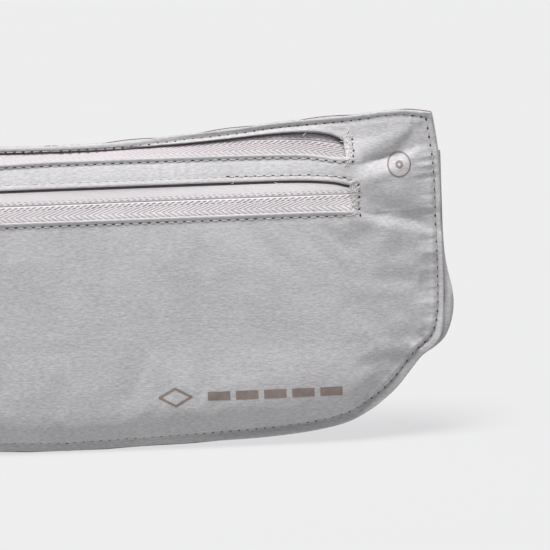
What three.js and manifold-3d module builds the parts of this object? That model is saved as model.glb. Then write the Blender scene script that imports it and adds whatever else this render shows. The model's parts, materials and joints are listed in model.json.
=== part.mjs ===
// A slim waist pouch (money belt) that stands upright on its bottom edge, with its belt stowed behind.
// Millimetres. +X is to the right in a front view, -Y is out of the zipped front, +Z is up.
// The pouch is two sewn faces with a divider between them, two zips in windows of the front face, and
// a webbing belt with a side-release buckle, folded into three passes behind the back face.
import * as THREE from 'three';
import { mergeVertices } from 'three/addons/utils/BufferGeometryUtils.js';
import Module from 'manifold-3d';

const wasm = await Module();
wasm.setup();

// ---------------------------------------------------------------- driving dimensions
const seamY = -4.7;               // the sewn edge's plane, between the stuffed front and back faces
const frontRim = -1.3;            // the front face's outer side at its edge, from the seam plane
const bulge = 8;                  // how far the stuffed front stands out in front of its edge
const backBulge = 5.8;            // and how far the back face stands out behind it
const panelThickness = 0.8;
const plateauHalf = 117;          // the front is at its full depth between -plateauHalf and plateauHalf
const halfWidth = 145;
const backWider = 3.5;            // the back face reaches this far past the front at each side
const bottomRadius = 16;          // height over which the front swells out from the bottom seam
const bendZ = 109.4;              // the front turns back towards the top seam here
const leanTopZ = 116.1;           // and meets the flat top seam here
const backBendZ = 106;            // the back face's own turn towards the top seam
const backLeanTopZ = 115.5;
const gap = 0.3;                  // between pieces that touch when sewn or clamped

// The outline's lower and upper edges as (distance from the middle, height).
const bottomEdge = [[0, 0], [60, 2.1], [98, 5.5], [118, 13], [136, 31.5], [142.6, 38.5], [145, 60]];
const topEdge = [
  [0, 117], [22, 117.2], [50, 119.3], [102, 123.5], [131, 125.6], [142, 124], [144.4, 102], [145, 75],
];

const zipTravelStartX = -102;     // both zips are closed with the slider at the left end
const sliderLength = 8;
const tapeThickness = 0.6;
const tapeHalf = 115;
const halfTapeGap = 0.6;          // half the gap between the two tapes, where the slider's neck runs
const coilWidth = 2;
const coilDepth = 1.5;
const coilEnds = [-106.5, 105.5];

const beltWidth = 25;
const beltThickness = 1.5;
const beltZ = 97;
const passY = [4, 6.7, 12.6];     // the three stowed passes behind the back face
const barY = 1.5;                 // half thickness of the bars that the belt wraps
const slotHalf = beltWidth / 2 + 0.4;    // half length of the slots that the belt passes
const buckleHalf = 16.5;          // half height of both buckle halves, along Z

// ---------------------------------------------------------------- materials
function material(color, roughness, metalness = 0) {
  return new THREE.MeshStandardMaterial({ color, roughness, metalness });
}

const finishes = {
  face: material(0xc2bfc1, 0.75),
  mesh: material(0xb4b6ba, 0.9),
  lining: material(0x9fa3a8, 0.45, 0.3),
  tape: material(0xdcd5d9, 0.85),
  coil: material(0xcfc8cc, 0.4),
  metal: material(0xb9b7b8, 0.3, 0.9),
  webbing: material(0x8d827a, 0.85),
  moulding: material(0x8a8482, 0.5),
};

const assembly = new THREE.Group();
assembly.name = 'money_belt';

function addPiece(parent, name, geometry, finish) {
  const piece = new THREE.Mesh(geometry, finishes[finish].clone());
  piece.name = name;
  parent.add(piece);
  return piece;
}

// ---------------------------------------------------------------- solids
function welded(geometry) {
  const bare = geometry.clone();
  bare.deleteAttribute('normal');
  bare.deleteAttribute('uv');
  return mergeVertices(bare, 1e-4);
}

function toSolid(geometry) {
  const closed = welded(geometry);
  const vertProperties = new Float32Array(closed.attributes.position.array);
  const triVerts = new Uint32Array(closed.index.array);
  return new wasm.Manifold(new wasm.Mesh({ numProp: 3, vertProperties, triVerts }));
}

function toGeometry(solid) {
  const mesh = solid.getMesh();
  const geometry = new THREE.BufferGeometry();
  geometry.setAttribute('position', new THREE.BufferAttribute(mesh.vertProperties, 3));
  geometry.setIndex(new THREE.BufferAttribute(mesh.triVerts, 1));
  return geometry;
}

function cutAll(geometry, tools) {
  let solid = toSolid(geometry);
  for (const tool of tools) {
    solid = solid.subtract(toSolid(tool));
  }
  return toGeometry(solid);
}

function joinAll(geometries) {
  let solid = toSolid(geometries[0]);
  for (const other of geometries.slice(1)) {
    solid = solid.add(toSolid(other));
  }
  return toGeometry(solid);
}

function box(x, y, z) {
  const geometry = new THREE.BoxGeometry(x[1] - x[0], y[1] - y[0], z[1] - z[0]);
  return geometry.translate((x[0] + x[1]) / 2, (y[0] + y[1]) / 2, (z[0] + z[1]) / 2);
}

// A rounded rectangle across X and Z, extruded along Y.
function roundedPlate(x, y, z, radius, segments = 4) {
  const shape = new THREE.Shape();
  const corners = [
    [x[1] - radius, z[0] + radius, -Math.PI / 2],
    [x[1] - radius, z[1] - radius, 0],
    [x[0] + radius, z[1] - radius, Math.PI / 2],
    [x[0] + radius, z[0] + radius, Math.PI],
  ];
  for (const [cx, cz, start] of corners) {
    shape.absarc(cx, cz, radius, start, start + Math.PI / 2);
  }
  return extrudeAlongY(shape, y, segments);
}

// Extrudes a shape drawn in X and Z between two values of Y.
function extrudeAlongY(shape, y, segments = 4) {
  const options = { depth: y[1] - y[0], bevelEnabled: false, curveSegments: segments };
  const geometry = new THREE.ExtrudeGeometry(shape, options);
  return geometry.rotateX(Math.PI / 2).translate(0, y[1], 0);
}

// ---------------------------------------------------------------- the sewn faces
function edgeHeight(points) {
  const curve = new THREE.SplineCurve(points.map(([x, z]) => new THREE.Vector2(x, z)));
  const samples = curve.getPoints(points.length * 12);
  return (x) => {
    const distance = Math.abs(x);
    const next = samples.findIndex((sample) => sample.x >= distance);
    if (next <= 0) {
      return next === 0 ? samples[0].y : samples[samples.length - 1].y;
    }
    const a = samples[next - 1];
    const b = samples[next];
    return a.y + ((b.y - a.y) * (distance - a.x)) / (b.x - a.x);
  };
}

const bottomAt = edgeHeight(bottomEdge);
const topAt = edgeHeight(topEdge);

// How far out the stuffed front is at a point, from 0 at its seams to 1 on its plateau.
function fullness(x, z, shift) {
  const beyond = Math.max(0, (Math.abs(x) - plateauHalf) / (halfWidth - plateauHalf));
  const side = Math.cos((Math.min(beyond, 1) * Math.PI) / 2);
  const rise = Math.min(1, Math.max(0, (z - bottomAt(x)) / bottomRadius));
  const bottom = Math.sqrt(1 - (1 - rise) ** 2);
  const lean = Math.min(1, Math.max(0, (leanTopZ - shift - z) / (leanTopZ - bendZ)));
  return side * Math.min(bottom, lean);
}

const leanAngle = Math.atan((leanTopZ - bendZ) / bulge);
const leanShift = Math.tan((Math.PI / 2 - leanAngle) / 2);

// Heights of a face's rows of points at x, squeezed together where the outline narrows.
function rowHeights(x, firstRow, high, bend) {
  const bottom = bottomAt(x);
  const top = Math.min(topAt(x), high);
  const full = [bottom, bottom + 2, bottom + 5, bottom + 9, bottom + 14, 34, 50, 66, 82, 96, ...bend, top];
  const squeeze = THREE.MathUtils.smoothstep(Math.abs(x), plateauHalf, plateauHalf + 14);
  const heights = full.map((z, i) => {
    const even = bottom + ((top - bottom) * i) / (full.length - 1);
    return Math.min(top, z + (even - z) * squeeze);
  });
  return heights.slice(firstRow);
}

// A sheet across the outline: a box with many faces, bent to heights(x) and depths y(x, z, back).
function sheet(columns, inset, heights, depth) {
  const rows = heights(0).length - 1;
  const geometry = new THREE.BoxGeometry(2, 1, rows, columns, 1, rows);
  const position = geometry.attributes.position;
  for (let i = 0; i < position.count; i += 1) {
    const x = (halfWidth - inset) * Math.sin((position.getX(i) * Math.PI) / 2);
    const back = position.getY(i) > 0;
    const row = Math.round(position.getZ(i) + rows / 2);
    const z = heights(x, back)[row];
    position.setXYZ(i, x, seamY + depth(x, z, back), z);
  }
  return geometry;
}

// The front face and what is parallel to it, from near to far behind its outer surface.
function frontLayer(near, far, inset, firstRow, high, hasLean) {
  const shiftOf = (back) => leanShift * (back ? far : near);
  const bendRows = (back) => (hasLean ? [bendZ - shiftOf(back), leanTopZ - shiftOf(back)] : []);
  const heights = (x, back) => rowHeights(x, firstRow, high, bendRows(back));
  const depth = (x, z, back) => {
    const behind = back ? far : near;
    return frontRim + behind - bulge * fullness(x, z, shiftOf(back));
  };
  return sheet(32, inset, heights, depth);
}

// The back face and what is parallel to it. Its middle is flat, where it rests on the wearer.
function backLayer(near, far, inset, firstRow, endRow) {
  const scale = halfWidth / (halfWidth + backWider);
  const heights = (x) => {
    const bottom = bottomAt(x * scale);
    const top = topAt(x * scale);
    const low = [0, 2, 5, 9, bottomRadius].map((rise) => bottom + rise);
    const full = [...low, 50, 78, backBendZ, backLeanTopZ, top];
    const squeeze = THREE.MathUtils.smoothstep(Math.abs(x), plateauHalf, plateauHalf + 14);
    const rows = full.map((z, i) => {
      const even = bottom + ((top - bottom) * i) / (full.length - 1);
      return Math.min(top, z + (even - z) * squeeze);
    });
    return rows.slice(firstRow, endRow);
  };
  const depth = (x, z, back) => {
    const beyond = Math.max(0, (Math.abs(x) - plateauHalf) / (halfWidth - plateauHalf));
    const side = Math.cos((Math.min(beyond, 1) * Math.PI) / 2);
    const rise = Math.min(1, Math.max(0, (z - bottomAt(x * scale)) / bottomRadius));
    const lean = THREE.MathUtils.clamp((backLeanTopZ - z) / (backLeanTopZ - backBendZ), 0, 1);
    return (back ? far : near) + backBulge * side * Math.min(Math.sqrt(1 - (1 - rise) ** 2), lean);
  };
  return sheet(28, inset, heights, depth);
}

// ---------------------------------------------------------------- zips
// Each zip has its own frame: X along the zip, -Y outwards, Z across it, Y = 0 on the front's outer side.
const zips = [
  { name: 'lower', y: frontRim - bulge, z: 95.4, tilt: 0, windowHalf: [110, 6], tape: [9, 9] },
  {
    name: 'upper',
    y: frontRim - bulge / 2,
    z: (bendZ + leanTopZ) / 2,
    tilt: -(Math.PI / 2 - leanAngle),
    windowHalf: [108, 4.7],
    tape: [4, 4.2],
  },
];

const tapeY = [panelThickness + gap, panelThickness + gap + tapeThickness];
const coilY = [tapeY[1] + 0.25, tapeY[1] + 0.25 + coilDepth];

function zipGroup(zip) {
  const group = new THREE.Group();
  group.position.set(0, seamY + zip.y, zip.z);
  group.rotation.x = zip.tilt;
  return group;
}

function inZipFrame(geometry, zip) {
  return geometry.rotateX(zip.tilt).translate(0, seamY + zip.y, zip.z);
}

function windowTool(zip, halfLength, halfHeight, depth) {
  const tool = roundedPlate([-halfLength, halfLength], [-3, depth], [-halfHeight, halfHeight], 2.5);
  return inZipFrame(tool, zip);
}

function sliderBody() {
  const half = sliderLength / 2;
  const plateTop = tapeY[0] - gap;
  const outer = roundedPlate([-half, half], [plateTop - 1.1, plateTop], [-3.6, 3.6], 2);
  const neck = box([-half + 0.5, half - 0.5], [plateTop - 0.2, coilY[1] + 0.5], [-0.3, 0.3]);
  const inner = roundedPlate([-half, half], [coilY[1] + gap, coilY[1] + gap + 1], [-3.9, 3.9], 2);
  const walls = [-1, 1].map((side) => {
    const z = [side * 3.0, side * 3.8].sort((a, b) => a - b);
    return box([-half + 2, half - 2], [coilY[0] + 0.1, coilY[1] + 0.6], z);
  });
  const arch = new THREE.CurvePath();
  const foot = plateTop - 0.9;
  const crown = plateTop - 3.2;
  const rising = [[-2.9, foot], [-2.7, crown + 0.6], [-1.6, crown]];
  const places = [...rising, ...rising.map(([x, y]) => [-x, y]).reverse()];
  for (let i = 1; i < places.length; i += 1) {
    const from = new THREE.Vector3(places[i - 1][0], places[i - 1][1], 0);
    arch.add(new THREE.LineCurve3(from, new THREE.Vector3(places[i][0], places[i][1], 0)));
  }
  const bars = arch.curves.map((line) => {
    const along = new THREE.Vector3().subVectors(line.v2, line.v1);
    const bar = new THREE.CylinderGeometry(0.5, 0.5, along.length() + 0.3, 8);
    const turn = new THREE.Quaternion().setFromUnitVectors(new THREE.Vector3(0, 1, 0), along.normalize());
    const middle = new THREE.Vector3().addVectors(line.v1, line.v2).multiplyScalar(0.5);
    return bar.applyQuaternion(turn).translate(middle.x, middle.y, middle.z);
  });
  return joinAll([outer, neck, inner, ...walls, ...bars]);
}

const pullY = tapeY[0] - gap - 1.1 - gap - 0.5;   // the pull tab's hinge line, under the arch

function pullTab() {
  const y = [pullY - 0.5, pullY + 0.5];
  const shape = new THREE.Shape();
  shape.moveTo(-0.5, -2.4);
  shape.lineTo(6, -2.4);
  shape.lineTo(9, -3.2);
  shape.lineTo(20, -3.2);
  shape.absarc(20, 0, 3.2, -Math.PI / 2, Math.PI / 2);
  shape.lineTo(9, 3.2);
  shape.lineTo(6, 2.4);
  shape.lineTo(-0.5, 2.4);
  shape.closePath();
  const slot = new THREE.Path();
  slot.moveTo(0.5, -1.2);
  slot.lineTo(5, -1.2);
  slot.lineTo(5, 1.2);
  slot.lineTo(0.5, 1.2);
  slot.closePath();
  const eye = new THREE.Path();
  eye.absarc(19.5, 0, 1.4, 0, 2 * Math.PI);
  shape.holes.push(slot, eye);
  return extrudeAlongY(shape, y, 5);
}

function buildZip(zip) {
  const group = zipGroup(zip);
  const sides = [
    { name: 'front', sign: -1, width: zip.tape[0] },
    { name: 'rear', sign: 1, width: zip.tape[1] },
  ];
  for (const side of sides) {
    const across = (near, far) => [side.sign * near, side.sign * far].sort((a, b) => a - b);
    const tape = box([-tapeHalf, tapeHalf], tapeY, across(halfTapeGap, halfTapeGap + side.width));
    addPiece(group, `${zip.name}_zip_tape_${side.name}`, tape, 'tape');
    const coil = box(coilEnds, coilY, across(halfTapeGap, halfTapeGap + coilWidth));
    addPiece(group, `${zip.name}_zip_coil_${side.name}`, coil, 'coil');
    const stop = box([-109.5, -107.2], coilY, across(halfTapeGap + 0.2, halfTapeGap + 2.4));
    addPiece(group, `${zip.name}_zip_top_stop_${side.name}`, stop, 'metal');
  }
  const bottomStop = box([106, 109], coilY, [-2.8, 2.8]);
  addPiece(group, `${zip.name}_zip_bottom_stop`, bottomStop, 'metal');
  addPiece(group, `${zip.name}_zip_slider`, sliderBody().translate(zipTravelStartX, 0, 0), 'metal');
  addPiece(group, `${zip.name}_zip_pull`, pullTab().translate(zipTravelStartX, 0, 0), 'metal');
  assembly.add(group);
}

// ---------------------------------------------------------------- the pouch
function buildPouch() {
  const windows = zips.map((zip) => windowTool(zip, zip.windowHalf[0], zip.windowHalf[1], 1.05));
  const front = cutAll(frontLayer(0, panelThickness, 0, 0, 200, true), windows);
  addPiece(assembly, 'front_panel', front, 'face');

  const liningCut = windowTool(zips[0], 111, 5, 4);
  const lining = frontLayer(2.1, 2.5, 27, 2, 107, false);
  addPiece(assembly, 'front_shield_lining', cutAll(lining, [liningCut]), 'lining');

  // The divider hangs between the two pockets and turns forwards to the strip between the zips.
  const dividerRows = (x) => rowHeights(x, 1, 105.6, [102]);
  const dividerDepth = (x, z, back) => {
    const forwards = 4.5 * THREE.MathUtils.clamp((z - 102) / 3.6, 0, 1) * fullness(x, 60, 0);
    return -0.95 - fullness(x, Math.min(z, 100), 0) - forwards + (back ? 0.5 : 0);
  };
  addPiece(assembly, 'pocket_divider', sheet(24, 8, dividerRows, dividerDepth), 'lining');

  const backLining = backLayer(-0.95, -0.55, 29, 2, 8);
  addPiece(assembly, 'back_shield_lining', backLining, 'lining');

  // The back face is cut a little wider than the front, so it shows past the side seams.
  addPiece(assembly, 'back_panel', backLayer(0, 1.8, -backWider, 0, 10), 'mesh');
}

// ---------------------------------------------------------------- the belt
// A strap with its edge on, drawn along a path in X and Y and extruded over the belt's width.
function strap(path) {
  const points = path.getPoints(8);
  const left = [];
  const right = [];
  points.forEach((point, i) => {
    const before = points[Math.max(0, i - 1)];
    const after = points[Math.min(points.length - 1, i + 1)];
    const along = new THREE.Vector2().subVectors(after, before).normalize();
    const offset = new THREE.Vector2(-along.y, along.x).multiplyScalar(beltThickness / 2);
    left.push(point.clone().add(offset));
    right.push(point.clone().sub(offset));
  });
  const shape = new THREE.Shape([...left, ...right.reverse()]);
  const geometry = new THREE.ExtrudeGeometry(shape, { depth: beltWidth, bevelEnabled: false });
  return geometry.translate(0, 0, beltZ - beltWidth / 2);
}

function turnBack(path, x, fromY, toY, side) {
  const centre = (fromY + toY) / 2;
  const radius = Math.abs(toY - fromY) / 2;
  const start = fromY < toY ? -Math.PI / 2 : Math.PI / 2;
  const sweep = side * (fromY < toY ? 1 : -1) * Math.PI;
  path.absarc(x, centre, radius, start, start + sweep, sweep < 0);
}

const femaleX = [-6, 34];
const maleX = [-24, -6.4];

function buildBelt() {
  const [nearY, midY, outY] = passY;
  const towardsSeam = [[147, -1.5], [138, 0.9], [131, 2.7], [124, 3.8]];
  const right = new THREE.Path();
  right.moveTo(...towardsSeam[0]);
  right.splineThru([...towardsSeam.slice(1), [116, nearY]].map(([x, y]) => new THREE.Vector2(x, y)));
  turnBack(right, -104, nearY, midY, -1);
  turnBack(right, 130, midY, outY, 1);
  right.lineTo(femaleX[1] + gap, outY);
  addPiece(assembly, 'belt_webbing_right', strap(right), 'webbing');

  const layer = barY + gap + beltThickness / 2;
  const left = new THREE.Path();
  left.moveTo(-towardsSeam[0][0], towardsSeam[0][1]);
  left.splineThru(towardsSeam.slice(1).map(([x, y]) => new THREE.Vector2(-x, y)));
  left.lineTo(-104, outY - layer);
  turnBack(left, -20.6, outY - layer, outY + layer, 1);
  left.lineTo(-92, outY + layer);
  addPiece(assembly, 'belt_webbing_left', strap(left), 'webbing');

  buildBuckle(outY);
  buildAdjuster(outY, layer);
}

function buildBuckle(y) {
  const z = (low, high) => [beltZ + low, beltZ + high];
  const shell = roundedPlate(femaleX, [y - 4.3, y + 4.3], z(-buckleHalf, buckleHalf), 4);
  const cavity = box([femaleX[0] - 1, 19], [y - 2.4, y + 2.4], z(-13.4, 13.4));
  const sideGates = [-1, 1].map((side) => {
    const span = [side * 12.2, side * 18].sort((a, b) => a - b);
    return roundedPlate([2, 17.5], [y - 6, y + 6], z(...span), 1.5);
  });
  const slot = box([femaleX[1] - 8, femaleX[1] - 3], [y - 6, y + 6], z(-slotHalf, slotHalf));
  const barRelief = [-1, 1].map((side) => {
    const span = [y + side * barY, y + side * 6].sort((a, b) => a - b);
    return box([femaleX[1] - 3.1, femaleX[1] + 1], span, z(-slotHalf, slotHalf));
  });
  const female = cutAll(shell, [cavity, ...sideGates, slot, ...barRelief]);
  addPiece(assembly, 'buckle_socket', female, 'moulding');

  const base = roundedPlate(maleX, [y - 3.8, y + 3.8], z(-buckleHalf, buckleHalf), 3);
  const baseSlot = box([maleX[0] + 3.7, maleX[0] + 8.2], [y - 6, y + 6], z(-slotHalf, slotHalf));
  const relief = [-1, 1].map((side) => {
    const span = [y + side * barY, y + side * 6].sort((a, b) => a - b);
    return box([maleX[0] - 1, maleX[0] + 3.8], span, z(-slotHalf, slotHalf));
  });
  const tongue = roundedPlate([maleX[1] - 2, 12], [y - 1.8, y + 1.8], z(-2.6, 2.6), 1.5);
  const male = joinAll([cutAll(base, [baseSlot, ...relief]), tongue]);
  addPiece(assembly, 'buckle_plug', male, 'moulding');

  for (const side of [-1, 1]) {
    const arm = new THREE.Shape();
    arm.moveTo(maleX[1] + gap, beltZ + side * 6);
    arm.lineTo(8, beltZ + side * 8.5);
    arm.quadraticCurveTo(15, beltZ + side * 9, 16.5, beltZ + side * 11);
    arm.quadraticCurveTo(15, beltZ + side * 16, 9, beltZ + side * 16);
    arm.lineTo(2.4, beltZ + side * 15.6);
    arm.lineTo(2.4, beltZ + side * 12);
    arm.lineTo(maleX[1] + gap, beltZ + side * 10);
    arm.closePath();
    const name = side > 0 ? 'buckle_latch_upper' : 'buckle_latch_lower';
    addPiece(assembly, name, extrudeAlongY(arm, [y - 2, y + 2], 5), 'moulding');
  }
}

function buildAdjuster(y, layer) {
  const centre = -62;
  const underStrap = y - layer - beltThickness / 2 - gap;
  const height = [beltZ - slotHalf - 2.6, beltZ + slotHalf + 2.6];
  const rails = roundedPlate([centre - 10, centre + 10], [underStrap - 1.1, y + 1], height, 3);
  const opening = box([centre - 8, centre + 8], [underStrap - 3, y + 3], [beltZ - slotHalf, beltZ + slotHalf]);
  const strapWay = box([centre - 12, centre + 12], [underStrap, y + 3], [beltZ - slotHalf, beltZ + slotHalf]);
  const frame = cutAll(rails, [opening, strapWay]);
  const bar = box([centre - 2, centre + 2], [y - 1, y + 1], [beltZ - 13.5, beltZ + 13.5]);
  addPiece(assembly, 'belt_adjuster', joinAll([frame, bar]), 'moulding');
}

buildPouch();
for (const zip of zips) {
  buildZip(zip);
}
buildBelt();

export default assembly;
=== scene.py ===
import json
import math
import bpy
import bmesh
import numpy as np
from mathutils import Vector, Matrix, noise
from mathutils.bvhtree import BVHTree


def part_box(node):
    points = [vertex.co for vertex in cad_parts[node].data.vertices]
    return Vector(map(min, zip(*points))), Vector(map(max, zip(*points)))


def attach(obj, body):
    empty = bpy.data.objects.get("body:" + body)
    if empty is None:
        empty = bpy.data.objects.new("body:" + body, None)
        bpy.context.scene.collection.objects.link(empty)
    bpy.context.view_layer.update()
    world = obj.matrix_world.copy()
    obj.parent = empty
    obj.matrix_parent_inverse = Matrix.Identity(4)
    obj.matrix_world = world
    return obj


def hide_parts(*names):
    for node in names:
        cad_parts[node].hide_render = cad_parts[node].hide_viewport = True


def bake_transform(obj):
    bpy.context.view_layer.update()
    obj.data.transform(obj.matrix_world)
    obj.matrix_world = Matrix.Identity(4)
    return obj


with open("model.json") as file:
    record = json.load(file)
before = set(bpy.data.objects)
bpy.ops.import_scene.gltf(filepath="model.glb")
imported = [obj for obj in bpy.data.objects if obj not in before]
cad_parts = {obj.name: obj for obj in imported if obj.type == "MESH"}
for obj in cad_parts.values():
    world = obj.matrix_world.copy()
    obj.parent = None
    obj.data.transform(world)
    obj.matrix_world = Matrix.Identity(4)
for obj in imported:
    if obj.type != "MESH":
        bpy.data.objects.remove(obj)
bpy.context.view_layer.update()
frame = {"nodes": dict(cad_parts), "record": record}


MM = 0.001


# ---------------- helpers
def node_box(node):
    """Lowest and highest corner of a CAD node, in millimetres."""
    lo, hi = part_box(node)
    return [v / MM for v in lo], [v / MM for v in hi]


def ease(a, b, t):
    """Smooth step from 0 at a to 1 at b."""
    t = np.clip((np.asarray(t, float) - a) / (b - a), 0, 1)
    return t * t * (3 - 2 * t)


def bump_at(t, centre, width):
    return np.exp(-(((np.asarray(t, float) - centre) / width) ** 2))


def smooth_curve(points, x):
    """Monotone cubic through a few points."""
    px = np.array([p[0] for p in points], float)
    py = np.array([p[1] for p in points], float)
    x = np.clip(np.asarray(x, float), px[0], px[-1])
    h = np.diff(px)
    d = np.diff(py) / h
    m = np.concatenate([[d[0]], (d[:-1] + d[1:]) / 2, [d[-1]]])
    for i in range(len(m)):
        near = d[max(i - 1, 0):i + 1]
        if near.min() <= 0 <= near.max():
            m[i] = 0
        elif abs(m[i]) > 3 * abs(near).min():
            m[i] = 3 * math.copysign(abs(near).min(), m[i])
    k = np.clip(np.searchsorted(px, x, side="right") - 1, 0, len(h) - 1)
    t = (x - px[k]) / h[k]
    return ((1 + 2 * t) * (1 - t) ** 2 * py[k] + t * (1 - t) ** 2 * h[k] * m[k]
            + t * t * (3 - 2 * t) * py[k + 1] + t * t * (t - 1) * h[k] * m[k + 1])


def run_along(p):
    """Distance along a path of points, at each of them."""
    return np.concatenate([[0], np.cumsum(np.hypot(*np.diff(p, axis=0).T))])


def angles(count):
    """Equal steps round a circle."""
    return [2 * math.pi * k / count for k in range(count)]


def field(x, z, scale, seed, stretch=1.0):
    """Smooth seeded noise over a sheet, about -1 to 1."""
    x, z = np.broadcast_arrays(np.asarray(x, float), np.asarray(z, float))
    flat = [noise.noise(Vector((a / scale / stretch, b / scale, seed)))
            for a, b in zip(x.ravel(), z.ravel())]
    return 2 * np.array(flat).reshape(x.shape)


def link(o):
    bpy.context.scene.collection.objects.link(o)
    return o


def new_object(name, verts, faces, material, uv=None):
    mesh = bpy.data.meshes.new(name)
    mesh.from_pydata((np.asarray(verts, float) * MM).tolist(), [], faces)
    if uv is not None:
        layer = mesh.uv_layers.new(name="cloth")
        loops = np.empty(len(mesh.loops), np.int32)
        mesh.loops.foreach_get("vertex_index", loops)
        layer.data.foreach_set("uv", np.asarray(uv, np.float32)[loops].ravel())
    mesh.polygons.foreach_set("use_smooth", [True] * len(mesh.polygons))
    mesh.update()
    o = link(bpy.data.objects.new(name, mesh))
    o.data.materials.append(material)
    return o


def grid_faces(rows, cols, skip=None, flip=False):
    out = []
    for r in range(rows - 1):
        for c in range(cols - 1):
            if skip is not None and skip[r][c]:
                continue
            a = r * cols + c
            q = [a, a + 1, a + cols + 1, a + cols]
            out.append(q[::-1] if flip else q)
    return out


def place(o, body, slot, *nodes):
    """Put a piece under its body and hide the CAD nodes it stands for. The material slot is not used."""
    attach(o, body)
    if nodes:
        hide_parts(*nodes)
    return o


def apply_modifiers(o):
    graph = bpy.context.evaluated_depsgraph_get()
    mesh = bpy.data.meshes.new_from_object(o.evaluated_get(graph))
    o.modifiers.clear()
    o.data = mesh
    return o


def thicken(o, thickness):
    m = o.modifiers.new("cloth", "SOLIDIFY")
    m.thickness = thickness * MM
    m.offset = -1.0
    m.use_even_offset = False
    return apply_modifiers(o)


# ---------------- materials
class Nodes:
    """Small helper that writes shader maths as calls."""

    def __init__(self, name):
        self.material = bpy.data.materials.new(name)
        self.material.use_nodes = True
        self.tree = self.material.node_tree
        self.shader = next(n for n in self.tree.nodes if n.type == "BSDF_PRINCIPLED")

    def link(self, value, socket):
        if isinstance(value, bpy.types.NodeSocket):
            self.tree.links.new(value, socket)
        else:
            socket.default_value = value

    def node(self, kind, **settings):
        n = self.tree.nodes.new(kind)
        for k, v in settings.items():
            setattr(n, k, v)
        return n

    def maths(self, operation, a, b=0.0, c=0.0):
        n = self.node("ShaderNodeMath", operation=operation)
        for i, v in enumerate((a, b, c)):
            self.link(v, n.inputs[i])
        return n.outputs[0]

    def times(self, a, b):
        return self.maths("MULTIPLY", a, b)

    def times_add(self, a, b, c):
        return self.maths("MULTIPLY_ADD", a, b, c)

    def coordinates(self, source):
        split = self.node("ShaderNodeSeparateXYZ")
        self.tree.links.new(self.node("ShaderNodeTexCoord").outputs[source], split.inputs[0])
        return split.outputs

    def vector(self, x, y, z=0.0):
        n = self.node("ShaderNodeCombineXYZ")
        for i, v in enumerate((x, y, z)):
            self.link(v, n.inputs[i])
        return n.outputs[0]

    def noise(self, vector, scale, detail=2.0, rough=0.5):
        n = self.node("ShaderNodeTexNoise")
        self.link(vector, n.inputs["Vector"])
        n.inputs["Scale"].default_value = scale
        n.inputs["Detail"].default_value = detail
        n.inputs["Roughness"].default_value = rough
        return n.outputs["Fac"]

    def wave(self, value, pitch, phase=0.0):
        """Sine of a coordinate, 0 to 1, one cycle per pitch."""
        s = self.maths("SINE", self.times_add(value, 2 * math.pi / pitch, phase))
        return self.times_add(s, 0.5, 0.5)

    def band(self, value, low, high, soft=0.1):
        """1 between low and high, 0 outside."""
        up = self.node("ShaderNodeMapRange", interpolation_type="SMOOTHSTEP")
        down = self.node("ShaderNodeMapRange", interpolation_type="SMOOTHSTEP")
        for n, a, b in ((up, low - soft, low + soft), (down, high + soft, high - soft)):
            self.link(value, n.inputs["Value"])
            n.inputs["From Min"].default_value = a
            n.inputs["From Max"].default_value = b
        return self.times(up.outputs[0], down.outputs[0])

    def mix(self, factor, a, b):
        n = self.node("ShaderNodeMix", data_type="RGBA")
        self.link(factor, n.inputs["Factor"])
        for value, socket in ((a, n.inputs[6]), (b, n.inputs[7])):
            self.link(value, socket)
        return n.outputs[2]

    def finish(self, color, roughness, height=None, depth=0.0, **sockets):
        self.link(color, self.shader.inputs["Base Color"])
        self.link(roughness, self.shader.inputs["Roughness"])
        if height is not None:
            bump = self.node("ShaderNodeBump")
            bump.inputs["Strength"].default_value = 1.0
            bump.inputs["Distance"].default_value = depth * MM
            self.link(height, bump.inputs["Height"])
            self.tree.links.new(bump.outputs[0], self.shader.inputs["Normal"])
        for name, value in sockets.items():
            self.shader.inputs[name.replace("_", " ")].default_value = value
        return self.material


def srgb(code):
    """Linear colour from a six-digit colour code."""
    c = [int(code[i:i + 2], 16) / 255 for i in (0, 2, 4)]
    return tuple(v / 12.92 if v <= 0.04045 else ((v + 0.055) / 1.055) ** 2.4 for v in c) + (1.0,)


def face_fabric(name, light, dark, pick=0.55, depth=0.1):
    """Fine crinkled plain weave: threads run across, with faint mottling, and lighter high spots of the
    weave, a painted highlight.
    """
    n = Nodes(name)
    x, y, z = n.coordinates("UV")
    picks = n.noise(n.vector(n.times(x, 0.5), n.times(y, 1 / pick)), 1.0, 3.0, 0.65)
    ends = n.noise(n.vector(n.times(x, 2.6), n.times(y, 0.9)), 1.0, 2.0)
    crinkle = n.noise(n.vector(n.times(x, 0.22), n.times(y, 0.5)), 1.0, 3.0, 0.6)
    cloud = n.noise(n.vector(x, y), 0.05, 4.0, 0.6)
    weave = n.times_add(picks, 0.75, n.times(ends, 0.25))
    shade = n.times_add(weave, 0.82, n.times(cloud, 0.18))
    color = n.mix(n.band(shade, 0.5, 2.0, 0.14), dark, light)
    height = n.maths("ADD", weave, n.times(crinkle, 1.6))
    rough = n.times_add(cloud, 0.15, 0.62)
    return n.finish(color, rough, height, depth, Sheen_Weight=0.15, Sheen_Roughness=0.4,
                    Specular_IOR_Level=0.3)


def plain(name, light, dark, roughness=0.6, scale=2.0, depth=0.03, **sockets):
    """Mottled finish on object coordinates, for thread, cord, mouldings, print and the dark marks of painted
    shade in holes, slits and seams.
    """
    n = Nodes(name)
    x, y, z = n.coordinates("Object")
    spot = n.vector(n.maths("DIVIDE", x, MM), n.maths("DIVIDE", y, MM), n.maths("DIVIDE", z, MM))
    fine = n.noise(spot, scale, 4.0, 0.6)
    broad = n.noise(spot, scale * 0.08, 3.0)
    shade = n.times_add(fine, 0.5, n.times(broad, 0.5))
    color = n.mix(n.band(shade, 0.5, 2.0, 0.25), dark, light)
    rough = n.times_add(broad, 0.2, roughness - 0.1)
    return n.finish(color, rough, fine, depth, **sockets)


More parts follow.
